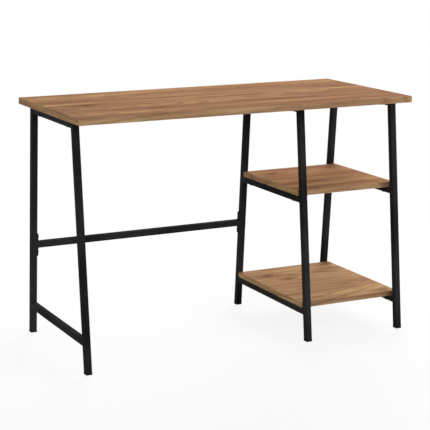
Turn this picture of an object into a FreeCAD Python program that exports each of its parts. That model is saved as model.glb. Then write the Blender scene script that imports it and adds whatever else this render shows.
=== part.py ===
import FreeCAD, Part
import math
import os

# A compact computer desk: a wood-grain top on three splayed frames of square tube, with two side shelves.
# Lengths are millimetres. X runs along the desk, +Y points to its back and +Z up.
# The origin is on the floor, under the middle of the desk top.

# Desk top
DESK_HEIGHT = 724.0
TOP_WIDTH = 1067.0
TOP_DEPTH = 494.0
TOP_THICKNESS = 19.0

# Edge bands, glued round every board
BAND_THICKNESS = 1.0
BAND_BEVEL = 0.5

# Square steel tube
TUBE = 19.0
TUBE_WALL = 1.2
TUBE_CORNER = 2.0

# Frames: how far they stand in from the edges of the top, at its ends, under it and on the floor
FRAME_INSET = 10.0
TOP_OVERHANG = 72.0
FOOT_SETBACK = 7.0
BAY_WIDTH = 300.0
LOW_RAIL_TOP = 98.0
MID_RAIL_TOP = 436.0

# Shelves
SHELF_THICKNESS = 16.0
SHELF_LEG_GAP = 4.0

# Back stretcher and its end plates
STRETCHER_HEIGHT = 281.0
PLATE_THICKNESS = 3.0
PLATE_LENGTH = 70.0
PLATE_CORNER = 3.0
PLATE_BOLT_EDGE = 11.0

# Foot caps: a chamfered pad under the leg, and a ribbed hollow plug inside it
CAP_HEIGHT = 6.0
CAP_PROUD = 0.4
CAP_CORNER = 1.5
CAP_CHAMFER = 1.2
PLUG_LENGTH = 16.0
PLUG_WALL = 2.0
PLUG_CLEARANCE = 0.6
RIB_CLEARANCE = 0.1
RIB_COUNT = 3
RIB_PITCH = 4.5
RIB_THICKNESS = 1.2

# Screws, bolts and their holes repeat so often that their rounds are drawn with flat sides
SMALL_ROUND_SIDES = 12
HEXAGON_SIDES = 6

# Button-head screws and bolts
SCREW_DIAMETER = 6.0
SCREW_HOLE_CLEARANCE = 0.25
SCREW_REACH = 11.0
SCREW_FROM_LEG = 45.0
HEAD_DIAMETER = 10.5
HEAD_HEIGHT = 3.3
HEAD_RIM = 1.0
HEAD_CROWN_DIAMETER = 6.4
SOCKET_FLATS = 4.0
SOCKET_DEPTH = 2.0
BOLT_PAST_NUT = 1.0

# Threaded inserts in the boards, and rivet nuts in the legs
THREAD_CLEARANCE = 0.05
INSERT_DIAMETER = 10.0
INSERT_LENGTH = 10.0
INSERT_FIT = 0.05
PILOT_SPARE = 0.5
RIVET_NUT_DIAMETER = 9.0
RIVET_NUT_LENGTH = 12.0
RIVET_NUT_FIT = 0.05
BULGE_DIAMETER = 12.0
BULGE_LENGTH = 2.5

# Sizes that follow from the ones above
FRAME_HEIGHT = DESK_HEIGHT - TOP_THICKNESS
BORE = TUBE - 2 * TUBE_WALL
RIGHT_X = TOP_WIDTH / 2 - FRAME_INSET - TUBE / 2
LEFT_X = -RIGHT_X
MIDDLE_X = RIGHT_X - BAY_WIDTH - TUBE
LEG_LEAN = math.atan2(TOP_OVERHANG - FOOT_SETBACK, FRAME_HEIGHT)
SCREW_HOLE_RADIUS = SCREW_DIAMETER / 2 + SCREW_HOLE_CLEARANCE
THREAD_RADIUS = SCREW_DIAMETER / 2 + THREAD_CLEARANCE
PILOT_DEPTH = max(INSERT_LENGTH, SCREW_REACH) + PILOT_SPARE
PLATE_BOLT_OFFSET = PLATE_LENGTH / 2 - PLATE_BOLT_EDGE

FRONT = -1
BACK = 1
SIDES = {"front": FRONT, "back": BACK}
FRAMES = {"left": LEFT_X, "middle": MIDDLE_X, "right": RIGHT_X}
RAILS = {"top": FRAME_HEIGHT, "mid": MID_RAIL_TOP, "low": LOW_RAIL_TOP}
SHELF_RAILS = ("mid", "low")

Vector = FreeCAD.Vector
X_AXIS = Vector(1, 0, 0)
Y_AXIS = Vector(0, 1, 0)
Z_AXIS = Vector(0, 0, 1)
TINY = 1e-6


def save(name, *solids):
    """Write one named piece, or a group of like pieces, to its own file."""
    shape = solids[0] if len(solids) == 1 else Part.makeCompound(solids)
    shape.exportStep(os.path.join("parts", name + ".step"))
    print(f"{name}: {len(shape.Solids)} solid(s), {shape.Volume / 1000:.2f} cm3")


def placed(shape, place, axis=Z_AXIS, degrees=0.0):
    """A copy of a shape, turned about an axis through the origin and then moved."""
    move = FreeCAD.Placement(place, FreeCAD.Rotation(axis, degrees))
    return shape.transformed(move.toMatrix(), True)


def square_bar(width, length):
    """A square bar that rises from z = 0 round the Z axis."""
    return Part.makeBox(width, width, length, Vector(-width / 2, -width / 2, 0))


def upright_edges(bar):
    return [edge for edge in bar.Edges if abs(edge.tangentAt(edge.FirstParameter).z) > 1 - TINY]


def square_tube(length):
    bar = square_bar(TUBE, length)
    return bar.makeFillet(TUBE_CORNER, upright_edges(bar)).cut(square_bar(BORE, length))


def polygon(radius, height, sides=SMALL_ROUND_SIDES):
    """A closed regular outline round the Z axis, with its corners on the radius."""
    corners = []
    for number in range(sides + 1):
        turn = 2 * math.pi * number / sides
        corners.append(Vector(radius * math.cos(turn), radius * math.sin(turn), height))
    return Part.makePolygon(corners)


def pin(radius, length):
    """A small round bar that rises from z = 0 and stays inside its radius."""
    return Part.Face(polygon(radius, 0)).extrude(Vector(0, 0, length))


def drill(radius, length):
    """A small round cutter that rises from z = 0 and clears all of its radius."""
    return pin(radius / math.cos(math.pi / SMALL_ROUND_SIDES), length)


def between_heights(shape, low, high):
    """What is left of a shape after level saw cuts at two heights."""
    reach = TOP_WIDTH + TOP_DEPTH
    slab = Part.makeBox(2 * reach, 2 * reach, high - low, Vector(-reach, -reach, low))
    return shape.common(slab)


# Legs: each leans in its frame's plane, and the three frames share one splay

def leg_outer(height):
    """Distance from the desk's middle plane to a leg's outer face, at a height."""
    return TOP_DEPTH / 2 - FOOT_SETBACK - height * math.tan(LEG_LEAN)


def leg_centre(height):
    return leg_outer(height) - TUBE / 2 / math.cos(LEG_LEAN)


def leg_inner(height):
    return leg_outer(height) - TUBE / math.cos(LEG_LEAN)


def on_leg(shape, x, side, height):
    """Carry a shape from the Z axis onto a leg's leaning axis, starting at a height."""
    start = Vector(x, side * leg_centre(height), height)
    return placed(shape, start, X_AXIS, side * math.degrees(LEG_LEAN))


def leg(x, side):
    """A leaning tube with both ends sawn level, from the foot cap up to the desk top."""
    spare = TUBE
    length = FRAME_HEIGHT / math.cos(LEG_LEAN) + 2 * spare
    return between_heights(on_leg(square_tube(length), x, side, -spare), CAP_HEIGHT, FRAME_HEIGHT)


def foot_cap(x, side):
    """A pad a little wider than the leg, with a hollow ribbed plug pushed up the leg's bore."""
    pad = square_bar(TUBE + 2 * CAP_PROUD, 2 * TUBE)
    pad = pad.makeChamfer(CAP_CORNER, upright_edges(pad))
    cap = between_heights(on_leg(pad, x, side, -TUBE), 0, CAP_HEIGHT)
    floor_edges = [edge for edge in cap.Edges if edge.BoundBox.ZMax < TINY]
    cap = cap.makeChamfer(CAP_CHAMFER, floor_edges)
    plug_root = CAP_HEIGHT / 2
    plug_width = BORE - 2 * PLUG_CLEARANCE
    cap = cap.fuse(on_leg(square_bar(plug_width, PLUG_LENGTH + plug_root), x, side, plug_root))
    rib = square_bar(BORE - 2 * RIB_CLEARANCE, RIB_THICKNESS)
    for number in range(1, RIB_COUNT + 1):
        cap = cap.fuse(on_leg(rib, x, side, CAP_HEIGHT + number * RIB_PITCH))
    hollow = square_bar(plug_width - 2 * PLUG_WALL, 2 * PLUG_LENGTH)
    return cap.cut(on_leg(hollow, x, side, CAP_HEIGHT)).removeSplitter()


# Rails: level tubes between the legs, sawn at the legs' lean so that they meet the inner faces

def screw_line(rail_top):
    """How far in front of and behind the middle plane a rail's screws stand."""
    return leg_inner(rail_top - TUBE / 2) - SCREW_FROM_LEG


def rail(x, rail_top, screwed):
    foot, head = leg_inner(0), leg_inner(FRAME_HEIGHT)
    outline = [(-foot, 0), (foot, 0), (head, FRAME_HEIGHT), (-head, FRAME_HEIGHT), (-foot, 0)]
    corners = [Vector(x - TUBE, y, z) for y, z in outline]
    between_legs = Part.Face(Part.makePolygon(corners)).extrude(Vector(2 * TUBE, 0, 0))
    start = Vector(x, -foot, rail_top - TUBE / 2)
    bar = placed(square_tube(2 * foot), start, X_AXIS, -90).common(between_legs)
    if screwed:
        for side in SIDES.values():
            below = Vector(x, side * screw_line(rail_top), rail_top - 2 * TUBE)
            bar = bar.cut(placed(drill(SCREW_HOLE_RADIUS, 3 * TUBE), below))
    return bar


# Fasteners: each is made upright on the Z axis, with the face that it bears on at z = 0

def button_screw(length):
    """A screw whose tapered button head hangs below z = 0, with a hexagon socket in it."""
    rim, crown = HEAD_DIAMETER / 2, HEAD_CROWN_DIAMETER / 2
    outlines = [polygon(crown, -HEAD_HEIGHT), polygon(rim, -HEAD_RIM), polygon(rim, 0)]
    head = Part.makeLoft(outlines, True, True)
    socket_outline = polygon(SOCKET_FLATS / math.sqrt(3), -HEAD_HEIGHT, HEXAGON_SIDES)
    socket = Part.Face(socket_outline).extrude(Vector(0, 0, SOCKET_DEPTH))
    return head.fuse(pin(SCREW_DIAMETER / 2, length)).cut(socket).removeSplitter()


def threaded_insert():
    """A sleeve that is driven up into a board from z = 0."""
    return pin(INSERT_DIAMETER / 2, INSERT_LENGTH).cut(drill(THREAD_RADIUS, INSERT_LENGTH))


def rivet_nut():
    """A sleeve flush with the tube's outer face at z = 0, upset into a bulge behind the wall."""
    sleeve = pin(RIVET_NUT_DIAMETER / 2, RIVET_NUT_LENGTH)
    bulge = placed(pin(BULGE_DIAMETER / 2, BULGE_LENGTH), Vector(0, 0, TUBE_WALL))
    return sleeve.fuse(bulge).cut(drill(THREAD_RADIUS, RIVET_NUT_LENGTH))


# Boards: a core with blind pilot holes in its underside, and four bands round it

def edge_band(length, thickness):
    """A strip along X with its outer face at y = 0, turned to -Y, and its outer edges bevelled."""
    strip = Part.makeBox(length, BAND_THICKNESS, thickness, Vector(-length / 2, 0, 0))
    outer = [edge for edge in strip.Edges if edge.BoundBox.YMax < TINY]
    long_outer = [edge for edge in outer if edge.BoundBox.XLength > length / 2]
    return strip.makeChamfer(BAND_BEVEL, long_outer)


def board(name, centre_x, underside, width, depth, thickness, screw_points):
    core_width = width - 2 * BAND_THICKNESS
    core_depth = depth - 2 * BAND_THICKNESS
    corner = Vector(centre_x - core_width / 2, -core_depth / 2, underside)
    core = Part.makeBox(core_width, core_depth, thickness, corner)
    pilot = drill(INSERT_DIAMETER / 2 + INSERT_FIT, PILOT_DEPTH)
    for x, y in screw_points:
        core = core.cut(placed(pilot, Vector(x, y, underside)))
    save(name, core)
    bands = {"front": (0, -depth / 2, 0, width), "right": (width / 2, 0, 90, core_depth),
             "back": (0, depth / 2, 180, width), "left": (-width / 2, 0, 270, core_depth)}
    for edge, (x, y, turn, length) in bands.items():
        band = placed(edge_band(length, thickness), Vector(centre_x + x, y, underside), Z_AXIS, turn)
        save(f"{name}_{edge}_band", band)


def fastened_board(name, underside, width, depth, thickness, frame_names):
    """A board, with the screws that rise through its rails and the inserts that they turn into."""
    line = screw_line(underside)
    xs = [FRAMES[frame] for frame in frame_names]
    points = [(x, side * line) for x in xs for side in SIDES.values()]
    left, right = min(xs), max(xs)
    board(name, (left + right) / 2, underside, width, depth, thickness, points)
    screw = button_screw(TUBE + SCREW_REACH)
    save(f"{name}_screws", *[placed(screw, Vector(x, y, underside - TUBE)) for x, y in points])
    insert = threaded_insert()
    save(f"{name}_inserts", *[placed(insert, Vector(x, y, underside)) for x, y in points])


# Stretcher: a tube with an end plate on each end, which lies flat on the back leg and leans with it

def end_plate():
    """A plate in the YZ plane, from x = 0 to its thickness, with a bolt hole above and below the tube."""
    plate = Part.makeBox(PLATE_THICKNESS, TUBE, PLATE_LENGTH, Vector(0, -TUBE / 2, -PLATE_LENGTH / 2))
    corners = [edge for edge in plate.Edges if edge.BoundBox.XLength > PLATE_THICKNESS / 2]
    plate = plate.makeFillet(PLATE_CORNER, corners)
    hole = drill(SCREW_HOLE_RADIUS, PLATE_THICKNESS)
    for height in (-PLATE_BOLT_OFFSET, PLATE_BOLT_OFFSET):
        plate = plate.cut(placed(hole, Vector(0, 0, height), Y_AXIS, 90))
    return plate


def leg_bolts(part, x, facing):
    """Two copies of a fastener on a back leg, on the bolts' axes and pointing into the leg."""
    bolts = []
    for height in (-PLATE_BOLT_OFFSET, PLATE_BOLT_OFFSET):
        turned = placed(part, Vector(0, 0, height), Y_AXIS, -90 * facing)
        bolts.append(on_leg(turned, x, BACK, STRETCHER_HEIGHT))
    return bolts


def stretcher():
    left_face = LEFT_X + TUBE / 2
    right_face = MIDDLE_X - TUBE / 2
    length = right_face - left_face - 2 * PLATE_THICKNESS
    tube = placed(square_tube(length), Vector(0, 0, 0), Y_AXIS, 90)
    save("back_stretcher", on_leg(tube, left_face + PLATE_THICKNESS, BACK, STRETCHER_HEIGHT))
    plate = end_plate()
    save("stretcher_left_plate", on_leg(plate, left_face, BACK, STRETCHER_HEIGHT))
    save("stretcher_right_plate", on_leg(plate, right_face - PLATE_THICKNESS, BACK, STRETCHER_HEIGHT))
    bolt = button_screw(PLATE_THICKNESS + RIVET_NUT_LENGTH + BOLT_PAST_NUT)
    left_bolts = leg_bolts(bolt, left_face + PLATE_THICKNESS, 1)
    right_bolts = leg_bolts(bolt, right_face - PLATE_THICKNESS, -1)
    save("stretcher_bolts", *left_bolts, *right_bolts)
    nut = rivet_nut()
    save("stretcher_rivet_nuts", *leg_bolts(nut, left_face, 1), *leg_bolts(nut, right_face, -1))


def bored_leg(x, facing):
    """A back leg with the rivet nuts' holes in the wall that faces the stretcher."""
    bored = leg(x, BACK)
    hole = drill(RIVET_NUT_DIAMETER / 2 + RIVET_NUT_FIT, TUBE / 2)
    for cutter in leg_bolts(hole, x + facing * TUBE / 2, facing):
        bored = bored.cut(cutter)
    return bored


def frame(name, x):
    stretcher_side = {"left": 1, "middle": -1}
    save(f"{name}_frame_front_leg", leg(x, FRONT))
    if name in stretcher_side:
        save(f"{name}_frame_back_leg", bored_leg(x, stretcher_side[name]))
    else:
        save(f"{name}_frame_back_leg", leg(x, BACK))
    for side_name, side in SIDES.items():
        save(f"{name}_frame_{side_name}_foot_cap", foot_cap(x, side))
    carries_shelves = name != "left"
    for rail_name, rail_top in RAILS.items():
        if rail_name == "mid" and not carries_shelves:
            continue
        screwed = rail_name == "top" or carries_shelves
        save(f"{name}_frame_{rail_name}_rail", rail(x, rail_top, screwed))


os.makedirs("parts", exist_ok=True)

for frame_name, frame_x in FRAMES.items():
    frame(frame_name, frame_x)

stretcher()

fastened_board("desk_top", FRAME_HEIGHT, TOP_WIDTH, TOP_DEPTH, TOP_THICKNESS, FRAMES)

shelf_width = BAY_WIDTH + 2 * TUBE
for shelf_name, shelf_rail in zip(("upper_shelf", "lower_shelf"), SHELF_RAILS):
    underside = RAILS[shelf_rail]
    shelf_depth = 2 * (leg_inner(underside + SHELF_THICKNESS) - SHELF_LEG_GAP)
    fastened_board(shelf_name, underside, shelf_width, shelf_depth, SHELF_THICKNESS, ("middle", "right"))
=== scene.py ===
# %% [markdown]
# # A computer desk with two side shelves
#
# The desk is three frames of black square tube under a wood-grain top, with two small shelves at its right
# end. Its solids come ready made and at their real size, so this lesson dresses them: it sets a camera and
# a studio, mixes the finishes from nodes, and models two small things that give a desk away as real: the
# screws with their sockets and threads, and the weld beads. Everything is in metres, with X along the desk,
# +Y to its back and +Z up.

# %% Load the solids
import math

import bmesh
import bpy
from mathutils import Matrix, Vector


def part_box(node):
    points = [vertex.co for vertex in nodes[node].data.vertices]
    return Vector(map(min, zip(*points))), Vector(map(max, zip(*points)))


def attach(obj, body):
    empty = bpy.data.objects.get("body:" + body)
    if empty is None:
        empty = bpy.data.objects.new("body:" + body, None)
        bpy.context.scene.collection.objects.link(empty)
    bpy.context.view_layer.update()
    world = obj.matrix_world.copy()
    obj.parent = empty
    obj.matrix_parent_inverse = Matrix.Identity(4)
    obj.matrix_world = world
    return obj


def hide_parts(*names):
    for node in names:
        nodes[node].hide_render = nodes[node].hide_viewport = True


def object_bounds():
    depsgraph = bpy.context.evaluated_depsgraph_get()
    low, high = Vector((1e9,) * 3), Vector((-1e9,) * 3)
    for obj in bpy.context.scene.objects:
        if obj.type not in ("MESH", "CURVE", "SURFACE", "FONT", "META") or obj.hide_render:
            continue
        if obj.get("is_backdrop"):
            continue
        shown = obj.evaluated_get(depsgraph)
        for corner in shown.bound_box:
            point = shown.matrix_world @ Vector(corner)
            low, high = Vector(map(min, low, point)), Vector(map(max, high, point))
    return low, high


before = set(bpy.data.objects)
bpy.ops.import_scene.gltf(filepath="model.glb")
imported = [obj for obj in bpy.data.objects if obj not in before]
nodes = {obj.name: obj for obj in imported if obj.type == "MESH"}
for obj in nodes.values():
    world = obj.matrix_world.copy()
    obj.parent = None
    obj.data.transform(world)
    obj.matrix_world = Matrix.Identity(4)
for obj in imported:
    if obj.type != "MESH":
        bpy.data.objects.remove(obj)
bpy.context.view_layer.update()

# %% [markdown]
# ## The camera
#
# The desk is seen from its left, a little above the top, through a long lens, so its far end is only
# slightly smaller than the near one. A camera can be aimed with a tracking constraint, but turning it by
# two angles is plainer: it looks along +Y, then turns right by the yaw and down by the pitch.

# %% Camera
CAMERA_PLACE = (-1.9106, -3.8425, 1.2894)
CAMERA_YAW = math.radians(26.40)
CAMERA_PITCH = math.radians(-12.19)
CAMERA_LENS = 120.9
SENSOR = 36.0

lens = bpy.data.cameras.new("camera")
lens.lens = CAMERA_LENS
lens.sensor_width = SENSOR
camera = bpy.data.objects.new("camera", lens)
camera.location = CAMERA_PLACE
camera.rotation_euler = (math.pi / 2 + CAMERA_PITCH, 0, -CAMERA_YAW)
bpy.context.scene.collection.objects.link(camera)
bpy.context.scene.camera = camera
bpy.context.scene.view_settings.view_transform = "Standard"
print("camera:", round(math.degrees(2 * math.atan(SENSOR / 2 / CAMERA_LENS)), 1), "degrees wide")

# %% [markdown]
# ## A way to write nodes
#
# Node trees get long when every node and link takes three lines. Here one class holds a tree and has a
# single method that adds a node: it takes the node's type, its settings, and what goes into its sockets. A
# second small class wraps an output socket, so that sums on it read as sums, and each operator adds one
# Math node.


# %% Node writer
class Link:
    """An output socket that can stand in a sum."""

    def __init__(self, graph, socket):
        self.graph = graph
        self.socket = socket

    def math(self, operation, first, second):
        return self.graph.add("ShaderNodeMath", {"operation": operation}, {0: first, 1: second})

    def __add__(self, other):
        return self.math("ADD", self, other)

    def __radd__(self, other):
        return self.math("ADD", other, self)

    def __sub__(self, other):
        return self.math("SUBTRACT", self, other)

    def __rsub__(self, other):
        return self.math("SUBTRACT", other, self)

    def __mul__(self, other):
        return self.math("MULTIPLY", self, other)

    def __rmul__(self, other):
        return self.math("MULTIPLY", other, self)


class Graph:
    """A node tree that is filled one node at a time."""

    def __init__(self, tree):
        self.tree = tree
        tree.nodes.clear()

    def add(self, kind, settings=None, inputs=None, output=0):
        node = self.tree.nodes.new(kind)
        for name, value in (settings or {}).items():
            if name == "stops":
                self.fill_ramp(node.color_ramp.elements, value)
            else:
                setattr(node, name, value)
        for name, value in (inputs or {}).items():
            if isinstance(value, Link):
                self.tree.links.new(value.socket, node.inputs[name])
            else:
                node.inputs[name].default_value = value
        return Link(self, node.outputs[output]) if node.outputs else None

    def fill_ramp(self, elements, stops):
        for number, (position, colour) in enumerate(stops):
            stop = elements[number] if number < 2 else elements.new(position)
            stop.position = position
            stop.color = colour


def paint(red, green, blue):
    """A colour as it is seen on a screen, from 0 to 255, turned into the linear light that shaders use."""
    shares = [level / 255 for level in (red, green, blue)]
    linear = [s / 12.92 if s <= 0.04045 else ((s + 0.055) / 1.055) ** 2.4 for s in shares]
    return (*linear, 1.0)


print("a mid brown in linear light:", [round(level, 3) for level in paint(169, 130, 98)])

# %% [markdown]
# ## The studio
#
# The desk stands on a pale floor in an even white room. The world lights it softly from all round, more
# from the horizon than from straight above, so that the shelves under the top aren't left in the dark. Rays
# from the camera, and rays that mirror or pass through, find plain white instead. The floor mixes that
# white with an ordinary matt paint, so it looks white and still shows the desk's soft shadow. The paint's
# share fades out with the distance from the desk, where no shadow falls.

# %% World
WHITE = (1, 1, 1, 1)
WORLD_LOW = 0.55
WORLD_HIGH = 0.3

world = bpy.data.worlds.new("studio")
world.use_nodes = True
bpy.context.scene.world = world
sky = Graph(world.node_tree)


def seen_directly(graph):
    """1 for rays from the camera, and for rays that mirror or pass through."""
    rays = [graph.add("ShaderNodeLightPath", output=ray)
            for ray in ("Is Camera Ray", "Is Glossy Ray", "Is Transmission Ray")]
    return rays[0] + rays[1] + rays[2]


direction = sky.add("ShaderNodeTexCoord", output="Generated")
height = sky.add("ShaderNodeSeparateXYZ", inputs={"Vector": direction}, output="Z")
strength = WORLD_LOW + (WORLD_HIGH - WORLD_LOW) * height
soft_light = sky.add("ShaderNodeBackground", inputs={"Color": WHITE, "Strength": strength})
plain_white = sky.add("ShaderNodeBackground", inputs={"Color": WHITE, "Strength": 1.0})
shown = sky.add("ShaderNodeMixShader", inputs={0: seen_directly(sky), 1: soft_light, 2: plain_white})
sky.add("ShaderNodeOutputWorld", inputs={"Surface": shown})
print("world:", WORLD_LOW, "at the horizon,", WORLD_HIGH, "overhead")

# %% Floor
FLOOR_SIDE = 40.0
FLOOR_GREY = 0.62
FLOOR_WHITE = 0.98
SHADOW_SHARE = 0.13
SHADOW_START = 0.9
SHADOW_END = 2.2

floor_mesh = bpy.data.meshes.new("floor")
shape = bmesh.new()
bmesh.ops.create_grid(shape, x_segments=1, y_segments=1, size=FLOOR_SIDE / 2)
shape.to_mesh(floor_mesh)
shape.free()
floor = bpy.data.objects.new("floor", floor_mesh)
bpy.context.scene.collection.objects.link(floor)
floor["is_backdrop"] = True

floor_finish = bpy.data.materials.new("floor_paint")
floor_finish.use_nodes = True
graph = Graph(floor_finish.node_tree)
direct = seen_directly(graph)
matt = graph.add("ShaderNodeBsdfDiffuse", inputs={"Color": FLOOR_GREY + direct * (FLOOR_WHITE - FLOOR_GREY)})
glow = graph.add("ShaderNodeEmission", inputs={"Color": WHITE, "Strength": 1.0})
place = graph.add("ShaderNodeTexCoord", output="Object")
distance = graph.add("ShaderNodeVectorMath", {"operation": "LENGTH"}, {0: place}, output="Value")
near = graph.add("ShaderNodeMapRange", {"interpolation_type": "SMOOTHSTEP"},
                 {"Value": distance, "From Min": SHADOW_END, "From Max": SHADOW_START})
white_share = direct * (1 - near * SHADOW_SHARE)
upper_side = graph.add("ShaderNodeMixShader", inputs={0: white_share, 1: matt, 2: glow})
from_below = graph.add("ShaderNodeNewGeometry", output="Backfacing")
clear = graph.add("ShaderNodeBsdfTransparent")
surface = graph.add("ShaderNodeMixShader", inputs={0: from_below, 1: upper_side, 2: clear})
graph.add("ShaderNodeOutputMaterial", inputs={"Surface": surface})
floor_mesh.materials.append(floor_finish)
print("floor:", FLOOR_SIDE, "m square")

# %% [markdown]
# ## Three softboxes
#
# A big low softbox to the right of the camera is the key light. It reaches the front edges, slips in under
# the top and leaves the left ends darker. A second one stands behind the desk to the right, and lights the
# top and the shelves without touching the faces that look at the camera. A weak one fills the left end.
# Area lights are aimed here by turning their own -Z axis towards a point in the middle of the desk.

# %% Lights
AIM = Vector((0.1, 0.0, 0.4))
SOFTBOXES = {
    "key": {"place": Vector((3.6, -3.2, 1.9)), "side": 2.2, "watts": 112.0},
    "back": {"place": Vector((2.5, 3.6, 2.8)), "side": 2.6, "watts": 255.0},
    "fill": {"place": Vector((-8.0, -2.4, 0.9)), "side": 4.0, "watts": 95.0},
}

for name, box in SOFTBOXES.items():
    light = bpy.data.lights.new(name, "AREA")
    light.shape = "SQUARE"
    light.size = box["side"]
    light.energy = box["watts"]
    lamp = bpy.data.objects.new(name, light)
    lamp.location = box["place"]
    lamp.rotation_euler = (AIM - box["place"]).to_track_quat("-Z", "Y").to_euler()
    lamp.visible_glossy = False
    bpy.context.scene.collection.objects.link(lamp)
    print("softbox:", name, round((AIM - box["place"]).length, 2), "m away")

# %% [markdown]
# ## Oak laminate
#
# The boards are chipboard under a printed sheet of rustic oak. The print has slow changes of tone, growth
# rings that close into long pointed arches, thin dark fibres along the grain and a few knots. A picture
# would be the quick way, but noise that is stretched along the grain never repeats and stays sharp close
# up. The rings come from a smooth Voronoi pattern, stretched as well, whose cells make the arches.


# %% Oak laminate
def new_finish(name):
    finish = bpy.data.materials.new(name)
    finish.use_nodes = True
    return finish, Graph(finish.node_tree)


def mixed(graph, share, first, second):
    return graph.add("ShaderNodeMix", {"data_type": "RGBA"}, {0: share, 6: first, 7: second}, output=2)


def stretched_noise(graph, place, scale, detail, roughness):
    """Noise that changes as often per metre along each axis as the scale says."""
    mapped = graph.add("ShaderNodeMapping", inputs={"Vector": place, "Scale": scale})
    inputs = {"Vector": mapped, "Scale": 1.0, "Detail": detail, "Roughness": roughness}
    return graph.add("ShaderNodeTexNoise", inputs=inputs, output="Fac")


def stepped(graph, value, start, end):
    """0 below start and 1 past end, smooth between them."""
    settings = {"interpolation_type": "SMOOTHSTEP"}
    inputs = {"Value": value, "From Min": start, "From Max": end}
    return graph.add("ShaderNodeMapRange", settings, inputs)


ROSY_OAK = [paint(159, 115, 88), paint(180, 137, 102), paint(199, 158, 112)]
GOLDEN_OAK = [paint(157, 119, 91), paint(177, 141, 106), paint(196, 161, 117)]
# These shares paint light and shade into the oak's colour: the upper shelf darker for the shade under the
# top, the lower shelf and the top's front and back bands lighter for the light they catch.
UPPER_SHELF_PAINTED_SHADE = 0.91
LOWER_SHELF_PAINTED_LIGHT = 1.12
TOP_BAND_PAINTED_LIGHT = 1.11
TONE_STEPS = (0.38, 0.5, 0.62)
RING_BROWN = paint(124, 85, 58)
PORE_BROWN = paint(98, 67, 46)
KNOT_BROWN = paint(86, 56, 40)

# How often each pattern changes per metre, along the grain, across it and through the sheet,
# and then how many finer layers its noise has and how strong they are
SWAY = ((1.7, 6, 6), 2, 0.5)
RIPPLES = ((5, 40, 40), 3, 0.5)
KNOT_EDGES = ((14, 45, 45), 2, 0.5)
CLOUDS = ((1.5, 15, 15), 2, 0.5)
STREAKS = ((2.6, 52, 52), 4, 0.6)
FIBRES = ((9, 420, 420), 3, 0.6)
PORES = ((50, 1400, 1400), 1, 0.5)
RING_CELLS = (1.15, 7.5, 7.5)

SWAY_REACH = 0.035
RING_SMOOTHNESS = 0.55
RIPPLE_REACH = 1.1
LATE_WOOD_START = 0.45
LATE_WOOD_END = 0.95
RINGS_PER_CELL = 13
KNOT_STRETCH = 2.2
KNOT_RINGS = 0.2
KNOT_BLEND = 0.12
KNOT_WARP = 1.4

# Where each mark starts and where it is full, on its own noise or on the distance from a knot
DARK_STREAK = (0.45, 0.3)
DARK_FIBRE = (0.52, 0.3)
OPEN_PORE = (0.6, 0.72)
KNOT_HALO = (3.0, 0.6)
KNOT_HEART = (1.0, 0.3)

# How strongly each mark shows in the colour, in the relief and in the roughness
CLOUD_PART, STREAK_PART = 0.55, 0.45
LATE_WOOD_SHARE, STREAK_SHARE = 0.44, 0.5
FIBRE_SHARE, PORE_SHARE = 0.32, 0.4
HALO_SHARE, HALO_STREAKS, HEART_SHARE = 0.25, 0.5, 0.6
FIBRE_RELIEF, PORE_RELIEF, RING_RELIEF = 0.5, 0.8, 0.25
RELIEF_STRENGTH, RELIEF_HEIGHT = 0.25, 0.0002
OAK_ROUGHNESS, PORE_ROUGHNESS = 0.56, 0.2
RING_POLISH, FIBRE_ROUGHNESS = 0.05, 0.08
OAK_SPECULAR = 0.003
print("oak: streaks about", round(1000 / STREAKS[0][1]), "mm wide,",
      "fibres", round(1000 / FIBRES[0][1], 1), "mm")


# %% Growth rings and knots
def swaying_sheet(graph, shift, turn):
    """Coordinates of the printed sheet, whose grain wanders a little from side to side."""
    place = graph.add("ShaderNodeTexCoord", output="Object")
    moved = {"Vector": place, "Location": shift, "Rotation": (0, 0, turn)}
    sheet = graph.add("ShaderNodeMapping", inputs=moved)
    drift = stretched_noise(graph, sheet, *SWAY) - 0.5
    sideways = graph.add("ShaderNodeCombineXYZ", inputs={"Y": drift * SWAY_REACH})
    return graph.add("ShaderNodeVectorMath", {"operation": "ADD"}, {0: sheet, 1: sideways})


def reach_from(graph, grain, x, y, size):
    """Distance from a knot, counted in knots, shorter along the grain and never quite round."""
    scale = (1 / size / KNOT_STRETCH, 1 / size, 0)
    offset = graph.add("ShaderNodeMapping", inputs={"Vector": grain, "Scale": scale,
                                                    "Location": (-x * scale[0], -y * scale[1], 0)})
    reach = graph.add("ShaderNodeVectorMath", {"operation": "LENGTH"}, {0: offset}, output="Value")
    return reach * (1 + KNOT_WARP * (stretched_noise(graph, grain, *KNOT_EDGES) - 0.5))


def growth_rings(graph, grain, reaches):
    """1 on the dark late wood of each ring, which bends round the knots."""
    cells = graph.add("ShaderNodeMapping", inputs={"Vector": grain, "Scale": RING_CELLS})
    rings = graph.add("ShaderNodeTexVoronoi", {"feature": "SMOOTH_F1"},
                      {"Vector": cells, "Scale": 1.0, "Smoothness": RING_SMOOTHNESS})
    for reach in reaches:
        inputs = {0: rings, 1: reach * KNOT_RINGS, 2: KNOT_BLEND}
        rings = graph.add("ShaderNodeMath", {"operation": "SMOOTH_MIN"}, inputs)
    ripple = stretched_noise(graph, grain, *RIPPLES)
    rippled = rings * RINGS_PER_CELL + ripple * RIPPLE_REACH
    phase = graph.add("ShaderNodeMath", {"operation": "FRACT"}, {0: rippled})
    return stepped(graph, phase, LATE_WOOD_START, LATE_WOOD_END) * stepped(graph, phase, 1.0, LATE_WOOD_END)


# %% The oak finishes
def with_painted_light(tones, share):
    """The same tones made lighter or darker, which paints more or less light onto a board."""
    return [(*(level * share for level in tone[:3]), 1.0) for tone in tones]


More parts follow.
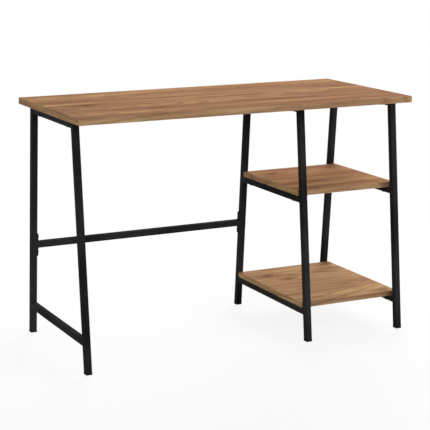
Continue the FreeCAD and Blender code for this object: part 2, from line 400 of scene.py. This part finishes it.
def oak(name, tones, turn=0.0, shift=(0, 0, 0), knots=()):
    """A print of oak whose grain runs along X, or along Y after a quarter turn."""
    finish, graph = new_finish(name)
    grain = swaying_sheet(graph, shift, turn)
    reaches = [reach_from(graph, grain, x + shift[0], y + shift[1], size) for x, y, size in knots]
    late_wood = growth_rings(graph, grain, reaches)
    cloud = stretched_noise(graph, grain, *CLOUDS)
    streak = stretched_noise(graph, grain, *STREAKS)
    fibre = stretched_noise(graph, grain, *FIBRES)
    pore = stepped(graph, stretched_noise(graph, grain, *PORES), *OPEN_PORE)

    stops = list(zip(TONE_STEPS, tones))
    tone = cloud * CLOUD_PART + streak * STREAK_PART
    colour = graph.add("ShaderNodeValToRGB", {"stops": stops}, {"Fac": tone})
    colour = mixed(graph, late_wood * LATE_WOOD_SHARE, colour, RING_BROWN)
    colour = mixed(graph, stepped(graph, streak, *DARK_STREAK) * STREAK_SHARE, colour, RING_BROWN)
    colour = mixed(graph, stepped(graph, fibre, *DARK_FIBRE) * FIBRE_SHARE, colour, PORE_BROWN)
    colour = mixed(graph, pore * PORE_SHARE, colour, PORE_BROWN)
    for reach in reaches:
        halo = stepped(graph, reach, *KNOT_HALO) * (HALO_SHARE + streak * HALO_STREAKS)
        colour = mixed(graph, halo, colour, RING_BROWN)
        colour = mixed(graph, stepped(graph, reach, *KNOT_HEART) * HEART_SHARE, colour, KNOT_BROWN)

    height = fibre * FIBRE_RELIEF - pore * PORE_RELIEF - late_wood * RING_RELIEF
    bump = {"Strength": RELIEF_STRENGTH, "Distance": RELIEF_HEIGHT, "Height": height}
    relief = graph.add("ShaderNodeBump", inputs=bump)
    roughness = OAK_ROUGHNESS + pore * PORE_ROUGHNESS - late_wood * RING_POLISH + fibre * FIBRE_ROUGHNESS
    inputs = {"Base Color": colour, "Roughness": roughness,
              "Specular IOR Level": OAK_SPECULAR, "Normal": relief}
    shader = graph.add("ShaderNodeBsdfPrincipled", inputs=inputs)
    graph.add("ShaderNodeOutputMaterial", inputs={"Surface": shader})
    print("finish:", name, len(finish.node_tree.nodes), "nodes")
    return finish


QUARTER_TURN = math.pi / 2
top_oak = oak("oak_top", ROSY_OAK, knots=[(-0.42, -0.012, 0.012), (0.27, -0.12, 0.006)])
# The shelves and the top's long bands get copies of the print with light or shade painted in
upper_oak = oak("oak_upper_shelf", with_painted_light(ROSY_OAK, UPPER_SHELF_PAINTED_SHADE), shift=(0.37, 0.21, 0.0),
                knots=[(0.245, 0.1, 0.013)])
lower_oak = oak("oak_lower_shelf", with_painted_light(GOLDEN_OAK, LOWER_SHELF_PAINTED_LIGHT), shift=(1.31, -0.17, 0.0),
                knots=[(0.245, 0.12, 0.013), (0.29, 0.065, 0.008)])
long_band = oak("oak_band_long", GOLDEN_OAK, shift=(2.2, 0.4, 0.31))
top_band = oak("oak_band_top", with_painted_light(GOLDEN_OAK, TOP_BAND_PAINTED_LIGHT), shift=(2.2, 0.4, 0.31))
end_band = oak("oak_band_end", GOLDEN_OAK, turn=QUARTER_TURN, shift=(0.6, 0.9, 0.31))

# %% [markdown]
# ## Powder coat
#
# The tubes are sprayed with dry black powder that melts into a satin skin. Close up it isn't flat: it has
# the slight orange peel of melted powder, fine grit and a few specks. A painted sheen, lighter and darker
# patches of base colour along a tube, stands in for the satin's reflections and also shifts the roughness.
# These are noise at different sizes: two feed the bump, and two feed the colour and the roughness.
# The very weak specular level keeps the black deep, because everything round the desk is white. The plastic
# feet and the blackened screws are the same recipe with other numbers.

# %% Powder coat
# The sheen clouds and the dark and light shares below paint a sheen into the base colour: lighter and darker
# patches along a tube in place of real reflections.
PAINTED_SHEEN_CLOUDS = ((6, 6, 4), 3, 0.5)
PEEL = ((420, 420, 420), 2, 0.5)
GRIT = ((2400, 2400, 2400), 1, 0.5)
SPECKS = ((130, 130, 130), 4, 0.7)
PAINTED_SHEEN_RANGE = (0.3, 0.7)
SPECK_RANGE = (0.62, 0.8)
SPECK_GREY = paint(74, 73, 71)
PAINTED_DARK_SHARE = 0.62
PAINTED_LIGHT_SHARE = 1.6
SPECK_SHARE = 0.25
GRIT_RELIEF = 0.4
PEEL_STRENGTH = 0.3
SHEEN_POLISH = 0.08
SPECK_ROUGHNESS = 0.15


def satin_black(name, colour, roughness, peel, specular):
    finish, graph = new_finish(name)
    place = graph.add("ShaderNodeTexCoord", output="Object")
    # painted sheen: a noise mask that lightens and darkens the base colour along a tube, and also shifts the
    # roughness a little
    painted_sheen_and_gloss = stepped(graph, stretched_noise(graph, place, *PAINTED_SHEEN_CLOUDS), *PAINTED_SHEEN_RANGE)
    orange_peel = stretched_noise(graph, place, *PEEL)
    grit = stretched_noise(graph, place, *GRIT)
    specks = stepped(graph, stretched_noise(graph, place, *SPECKS), *SPECK_RANGE)
    painted_dark, painted_light = [(*(level * share for level in colour[:3]), 1) for share in (PAINTED_DARK_SHARE, PAINTED_LIGHT_SHARE)]
    tone = mixed(graph, painted_sheen_and_gloss, painted_dark, painted_light)
    tone = mixed(graph, specks * SPECK_SHARE, tone, SPECK_GREY)
    height = orange_peel + grit * GRIT_RELIEF
    bump = {"Strength": PEEL_STRENGTH, "Distance": peel, "Height": height}
    relief = graph.add("ShaderNodeBump", inputs=bump)
    dullness = roughness - (painted_sheen_and_gloss - 0.5) * SHEEN_POLISH + specks * SPECK_ROUGHNESS
    inputs = {"Base Color": tone, "Roughness": dullness, "Specular IOR Level": specular, "Normal": relief}
    shader = graph.add("ShaderNodeBsdfPrincipled", inputs=inputs)
    graph.add("ShaderNodeOutputMaterial", inputs={"Surface": shader})
    print("finish:", name, len(finish.node_tree.nodes), "nodes")
    return finish


powder_coat = satin_black("powder_coat", paint(40, 40, 40), 0.48, 0.00012, 0.003)
cap_plastic = satin_black("cap_plastic", paint(38, 38, 38), 0.6, 0.00005, 0.004)
black_screw = satin_black("black_screw", paint(34, 34, 35), 0.38, 0.00002, 0.03)

# %% [markdown]
# ## Zinc plating
#
# The inserts in the boards and the rivet nuts in the legs are steel with a thin bright coat of zinc. Zinc
# grows in faint patches of differing gloss, so a cell pattern shifts both the grey and the roughness a
# little.


# %% Zinc plating
PATCHES_PER_METRE = 600.0
STAINS = ((240, 240, 240), 3, 0.5)
PATCH_PART, STAIN_PART = 0.6, 0.4
BRIGHT_ZINC = paint(196, 196, 190)
DULL_ZINC = paint(150, 152, 152)
ZINC_ROUGHNESS, STAIN_ROUGHNESS = 0.28, 0.2


def zinc(name):
    finish, graph = new_finish(name)
    place = graph.add("ShaderNodeTexCoord", output="Object")
    cells = {"Vector": place, "Scale": PATCHES_PER_METRE}
    patch = graph.add("ShaderNodeTexVoronoi", inputs=cells, output="Distance")
    stain = stretched_noise(graph, place, *STAINS)
    tone = mixed(graph, patch * PATCH_PART + stain * STAIN_PART, BRIGHT_ZINC, DULL_ZINC)
    inputs = {"Base Color": tone, "Metallic": 1.0, "Roughness": ZINC_ROUGHNESS + stain * STAIN_ROUGHNESS}
    shader = graph.add("ShaderNodeBsdfPrincipled", inputs=inputs)
    graph.add("ShaderNodeOutputMaterial", inputs={"Surface": shader})
    print("finish:", name, len(finish.node_tree.nodes), "nodes")
    return finish


zinc_plate = zinc("zinc_plate")

# %% [markdown]
# ## Dressing the solids
#
# Each solid has a name that says what it is, so its finish can be found from the words in it. The long
# bands carry grain along X and the end bands along Y, as strips cut from one roll do.

# %% Dress the solids
FINISH_BY_WORD = [
    ("desk_top_front_band", top_band), ("desk_top_back_band", top_band),
    ("front_band", long_band), ("back_band", long_band), ("left_band", end_band), ("right_band", end_band),
    ("inserts", zinc_plate), ("nuts", zinc_plate), ("screws", black_screw), ("bolts", black_screw),
    ("foot_cap", cap_plastic), ("_frame_", powder_coat), ("stretcher", powder_coat),
    ("desk_top", top_oak), ("upper_shelf", upper_oak), ("lower_shelf", lower_oak),
]


def dress(node, finish):
    node.data.materials.clear()
    node.data.materials.append(finish)


for name, node in nodes.items():
    dress(node, next(finish for word, finish in FINISH_BY_WORD if word in name))
print("dressed:", len(nodes), "nodes")

# %% [markdown]
# ## A helper for new pieces
#
# Every new piece ends the same way: its normals are turned outwards, it is shaded smooth except across
# sharp edges, and it is told which body it rides on and which finish it takes. A shape that comes several
# times is modelled once and then copied to each place with a matrix.

# %% Piece helper
SHARP_ANGLE = math.radians(35)


def make_piece(name, shape, finish, replaced=()):
    bmesh.ops.recalc_face_normals(shape, faces=shape.faces[:])
    mesh = bpy.data.meshes.new(name)
    shape.to_mesh(mesh)
    shape.free()
    mesh.shade_smooth()
    mesh.set_sharp_from_angle(angle=SHARP_ANGLE)
    mesh.materials.append(finish)
    piece = bpy.data.objects.new(name, mesh)
    bpy.context.scene.collection.objects.link(piece)
    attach(piece, "root")
    if replaced:
        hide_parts(*replaced)
    print("piece:", name, len(mesh.polygons), "faces")


def copied(shape, places):
    """One shape that holds a copy of another at each place."""
    pattern = bpy.data.meshes.new("pattern")
    shape.to_mesh(pattern)
    shape.free()
    group = bmesh.new()
    for place in places:
        known = len(group.verts)
        group.from_mesh(pattern)
        bmesh.ops.transform(group, matrix=place, verts=group.verts[:][known:])
    bpy.data.meshes.remove(pattern)
    return group


# %% [markdown]
# ## Screws and bolts
#
# The boards hang on black button-head screws that come up through the rails, and the stretcher on bolts of
# the same make. Such a screw is a turned part, so its outline is spun round its axis: a domed head, a plain
# shank and a ridged thread. The hexagon socket isn't round, so the rim of the hole is drawn in to a hexagon
# after the spin and then pushed into the head. The places are read from the solids, by walking over each
# one's edges.

# %% Button-head screw
HEAD_WIDTH = 0.0105
HEAD_HEIGHT = 0.0033
HEAD_RIM = 0.001
RIM_BREAK = 0.0003
CROWN_WIDTH = 0.0064
SHANK_WIDTH = 0.006
THREAD_LENGTH = 0.012
THREAD_PITCH = 0.001
THREAD_DEPTH = 0.00035
SOCKET_FLATS = 0.004
SOCKET_DEPTH = 0.002
SOCKET_CORNER = SOCKET_FLATS / math.sqrt(3)
SCREW_STEPS = 24
DOME_STEPS = 5
SIXTH_TURN = math.pi / 3
TINY = 1e-6


def screw_outline(length):
    """Radius and height of each ring, from the socket's rim over the head to the tip."""
    crown, rim, shank = CROWN_WIDTH / 2, HEAD_WIDTH / 2, SHANK_WIDTH / 2
    points = [(SOCKET_CORNER, -HEAD_HEIGHT)]
    for step in range(DOME_STEPS + 1):
        turn = QUARTER_TURN * step / DOME_STEPS
        height = -HEAD_RIM - (HEAD_HEIGHT - HEAD_RIM) * math.cos(turn)
        points.append((crown + (rim - crown) * math.sin(turn), height))
    points += [(rim, -RIM_BREAK), (rim - RIM_BREAK, 0), (shank, 0)]
    for ridge in range(round(THREAD_LENGTH / THREAD_PITCH)):
        height = length - THREAD_LENGTH + ridge * THREAD_PITCH
        points += [(shank, height), (shank - THREAD_DEPTH, height + THREAD_PITCH / 2)]
    return points + [(shank - THREAD_DEPTH, length)]


def button_screw(length):
    """A screw that points up, with the face under its head at z = 0."""
    shape = bmesh.new()
    corners = [shape.verts.new((radius, 0, height)) for radius, height in screw_outline(length)]
    edges = [shape.edges.new(pair) for pair in zip(corners, corners[1:])]
    bmesh.ops.spin(shape, geom=corners + edges, cent=(0, 0, 0), axis=(0, 0, 1), angle=2 * math.pi,
                   steps=SCREW_STEPS, use_merge=True)
    rim = [edge for edge in shape.edges if edge.is_boundary and edge.verts[0].co.z < 0]
    for vert in {vert for edge in rim for vert in edge.verts}:
        angle = math.atan2(vert.co.y, vert.co.x) % SIXTH_TURN - SIXTH_TURN / 2
        to_flat = SOCKET_FLATS / 2 / math.cos(angle) / SOCKET_CORNER
        bmesh.ops.scale(shape, vec=(to_flat, to_flat, 1), verts=[vert])
    pushed = bmesh.ops.extrude_edge_only(shape, edges=rim)["geom"]
    floor_verts = [item for item in pushed if isinstance(item, bmesh.types.BMVert)]
    bmesh.ops.translate(shape, vec=(0, 0, SOCKET_DEPTH), verts=floor_verts)
    bmesh.ops.edgeloop_fill(shape, edges=[edge for edge in shape.edges if edge.is_boundary])
    return shape


def solids_in(name):
    """The lowest and highest corner of each separate solid in a node."""
    shape = bmesh.new()
    shape.from_mesh(nodes[name].data)
    bmesh.ops.remove_doubles(shape, verts=shape.verts[:], dist=TINY)
    waiting = set(shape.verts)
    boxes = []
    while waiting:
        reached = [waiting.pop()]
        for vert in reached:
            beside = [edge.other_vert(vert) for edge in vert.link_edges]
            fresh = waiting.intersection(beside)
            waiting -= fresh
            reached.extend(fresh)
        columns = list(zip(*(vert.co for vert in reached)))
        boxes.append([Vector(map(limit, columns)) for limit in (min, max)])
    shape.free()
    return boxes


# %% Screws under the boards
for board in ("desk_top", "upper_shelf", "lower_shelf"):
    boxes = solids_in(board + "_screws")
    screw_length = boxes[0][1].z - boxes[0][0].z - HEAD_HEIGHT
    places = [Matrix.Translation(((low.x + high.x) / 2, (low.y + high.y) / 2, low.z + HEAD_HEIGHT))
              for low, high in boxes]
    screws = copied(button_screw(screw_length), places)
    make_piece(board + "_button_screws", screws, black_screw, [board + "_screws"])

# %% Bolts in the stretcher's plates
boxes = solids_in("stretcher_bolts")
bolt_length = boxes[0][1].x - boxes[0][0].x - HEAD_HEIGHT
stretcher_low, stretcher_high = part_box("back_stretcher")
stretcher_middle = (stretcher_low + stretcher_high) / 2
places = []
for low, high in boxes:
    at_left = high.x < stretcher_middle.x
    seat = high.x - HEAD_HEIGHT if at_left else low.x + HEAD_HEIGHT
    turn = -QUARTER_TURN if at_left else QUARTER_TURN
    middle = Matrix.Translation((seat, (low.y + high.y) / 2, (low.z + high.z) / 2))
    places.append(middle @ Matrix.Rotation(turn, 4, "Y"))
bolts = copied(button_screw(bolt_length), places)
make_piece("stretcher_button_bolts", bolts, black_screw, ["stretcher_bolts"])

# %% [markdown]
# ## Weld beads
#
# Each rail is welded between its two legs, and the powder covers the beads. A bead lies in the inner
# corner, nearly as long as the tube is wide and rippled by the torch's small steps. It is a ring that is
# swept in many short steps, each swelled or drawn in a little, and tapered at both ends. Its axis lies on
# the corner, so only the quarter outside the metal shows. Under the desk top there is no room above a rail,
# so the top rails have beads below.

# %% Weld bead
BEAD_RADIUS = 0.002
BEAD_SIDES = 10
BEAD_MARGIN = 0.002
BEAD_RIPPLES = 9
STEPS_PER_RIPPLE = 4
RIPPLE_DEPTH = 0.1
TAPER_SHARE = 0.12
TAPER_START = 0.05


def weld_bead(length):
    """A rippled bead along X, round the origin."""
    shape = bmesh.new()
    start = Matrix.Translation((-length / 2, 0, 0)) @ Matrix.Rotation(QUARTER_TURN, 4, "Y")
    bmesh.ops.create_circle(shape, segments=BEAD_SIDES, radius=BEAD_RADIUS, matrix=start)
    steps = BEAD_RIPPLES * STEPS_PER_RIPPLE
    bmesh.ops.spin(shape, geom=shape.verts[:] + shape.edges[:], cent=(0, 0, 0), axis=(1, 0, 0), angle=0,
                   dvec=(length / steps, 0, 0), steps=steps)
    for vert in shape.verts:
        along = vert.co.x / length + 0.5
        taper = min(1, (TAPER_START + min(along, 1 - along)) / TAPER_SHARE)
        swell = math.sqrt(taper) * (1 - RIPPLE_DEPTH * math.cos(2 * math.pi * BEAD_RIPPLES * along))
        vert.co.y *= swell
        vert.co.z *= swell
    bmesh.ops.edgeloop_fill(shape, edges=[edge for edge in shape.edges if edge.is_boundary])
    return shape


# %% Welds of the three frames
top_rail_low, top_rail_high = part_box("left_frame_top_rail")
low_rail_low, low_rail_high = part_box("left_frame_low_rail")
lean = math.atan2(low_rail_high.y - top_rail_high.y, top_rail_low.z - low_rail_low.z)
tube = top_rail_high.z - top_rail_low.z
bead_length = tube - 2 * BEAD_MARGIN
print("legs lean", round(math.degrees(lean), 2), "degrees")

for side in ("left", "middle", "right"):
    places = []
    for rail in ("top", "mid", "low"):
        name = f"{side}_frame_{rail}_rail"
        if name not in nodes:
            continue
        low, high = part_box(name)
        middle_x = (low.x + high.x) / 2
        corners = [(low.y, low.z), (high.y, low.z)]
        if rail != "top":
            drawn_in = tube * math.tan(lean)
            corners += [(low.y + drawn_in, high.z), (high.y - drawn_in, high.z)]
        places += [Matrix.Translation((middle_x, y, z)) for y, z in corners]
    make_piece(f"{side}_frame_welds", copied(weld_bead(bead_length), places), powder_coat)

# %% Welds of the stretcher
places = []
for x in (stretcher_low.x, stretcher_high.x):
    for above in (-tube / 2, tube / 2):
        axis = Matrix.Translation((x, stretcher_middle.y, stretcher_middle.z)) @ Matrix.Rotation(lean, 4, "X")
        places.append(axis @ Matrix.Translation((0, 0, above)) @ Matrix.Rotation(QUARTER_TURN, 4, "Z"))
make_piece("stretcher_welds", copied(weld_bead(bead_length), places), powder_coat)

# %% [markdown]
# ## Measuring up
#
# The box of all the pieces that are shown, the floor left out, is measured and printed.

# %% Size
low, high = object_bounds()
print("box:", [round(side, 4) for side in high - low], "m")
